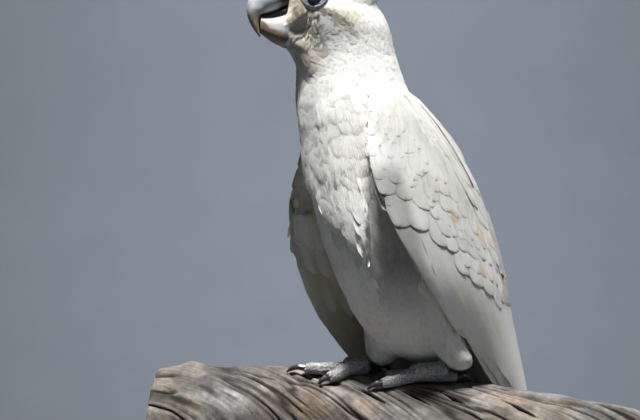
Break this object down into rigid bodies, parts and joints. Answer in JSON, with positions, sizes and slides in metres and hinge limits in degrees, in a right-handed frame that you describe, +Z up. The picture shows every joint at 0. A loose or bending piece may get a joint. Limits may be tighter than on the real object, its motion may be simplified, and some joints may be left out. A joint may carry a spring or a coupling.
{
  "type": "white cockatoo display model",
  "caption": "Life-size still model of a small white cockatoo with folded wings, perched on a cut length of branch that rods hold over a round base.",
  "frame": {"origin": "centre of the underside of the stand's round base", "axes": "+Z up; the bird's body faces -Y, with its left side towards +X; the perch runs along the diagonal of +X and +Y"},
  "size_m": [0.2728, 0.2712, 0.3944],
  "materials": {
    "plumage": "white contour feathers, soft and matt, faintly stained",
    "quills": "white flight and tail feathers, smooth vanes",
    "horn": "bluish-white horn, worn satin, dark at the tip",
    "eye": "dark brown eye, wet gloss",
    "foot_skin": "grey scaly skin",
    "claw": "black horn, satin",
    "bark": "weathered grey bark with cracks",
    "base_wood": "dark stained timber, satin",
    "steel": "brushed rod"
  },
  "bodies": {
    "root": {"head": "plumage", "neck": "plumage", "trunk": "plumage", "crest": "plumage", "wing_left_coverts": "plumage", "wing_right_coverts": "plumage", "thigh_left": "plumage", "thigh_right": "plumage", "tail": "quills", "wing_left_quills": "quills", "wing_right_quills": "quills", "bill_upper": "horn", "bill_lower": "horn", "eye_left": "eye", "foot_left": "foot_skin", "claw_left_inner_front": "claw", "claw_left_outer_front": "claw", "claw_left_outer_back": "claw", "claw_left_inner_back": "claw", "eye_right": "eye", "foot_right": "foot_skin", "claw_right_inner_front": "claw", "claw_right_outer_front": "claw", "claw_right_outer_back": "claw", "claw_right_inner_back": "claw", "perch": "bark", "stand_rod_front": "steel", "stand_rod_back": "steel", "stand_base": "base_wood"}
  },
  "joints": []
}
